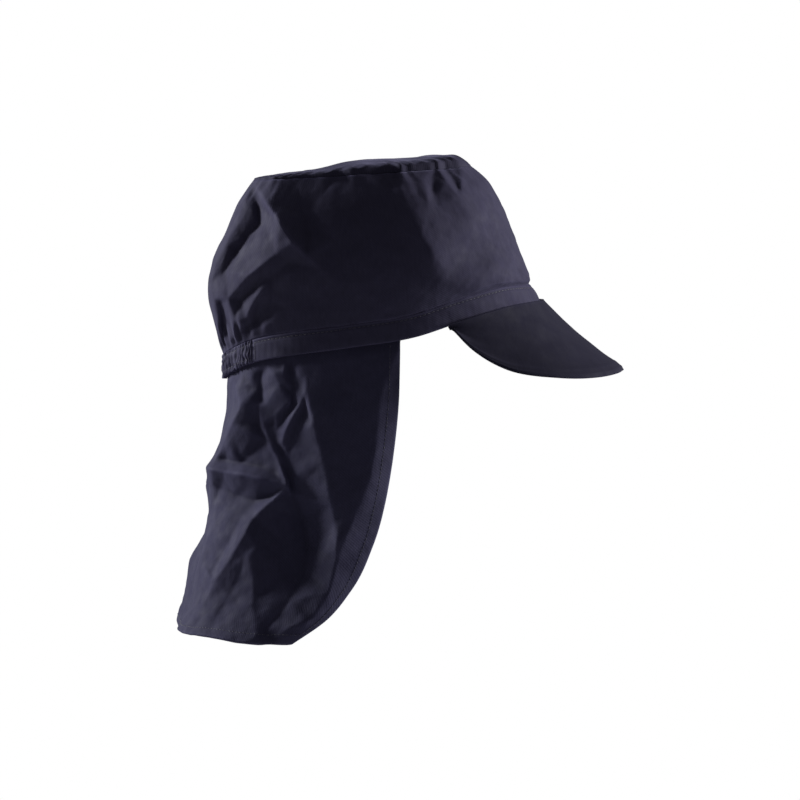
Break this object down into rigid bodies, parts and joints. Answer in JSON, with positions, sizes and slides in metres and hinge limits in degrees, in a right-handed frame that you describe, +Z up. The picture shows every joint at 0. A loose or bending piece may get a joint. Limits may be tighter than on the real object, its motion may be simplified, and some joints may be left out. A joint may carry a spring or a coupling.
{
  "type": "welding cap with neck flap",
  "caption": "Soft cotton welding cap with an oval top, stitched band gathered at the back, short peak and a long neck flap.",
  "frame": {"origin": "middle of the head opening, where the cap sits on a head", "axes": "+X towards the peak, +Y to the wearer's left, +Z up"},
  "size_m": [0.2781, 0.1782, 0.3019],
  "materials": {
    "navy_cotton": "navy cotton twill with a soft sheen",
    "navy_band": "navy cotton twill, folded and stitched",
    "peak_cotton": "navy cotton twill over a stiff core",
    "flap_cotton": "thin navy cotton twill, creased"
  },
  "bodies": {
    "root": {"crown_wall": "navy_cotton", "crown_top": "navy_cotton", "hem_band": "navy_band", "elastic_casing": "navy_band", "peak": "peak_cotton", "neck_flap": "flap_cotton"}
  },
  "joints": []
}
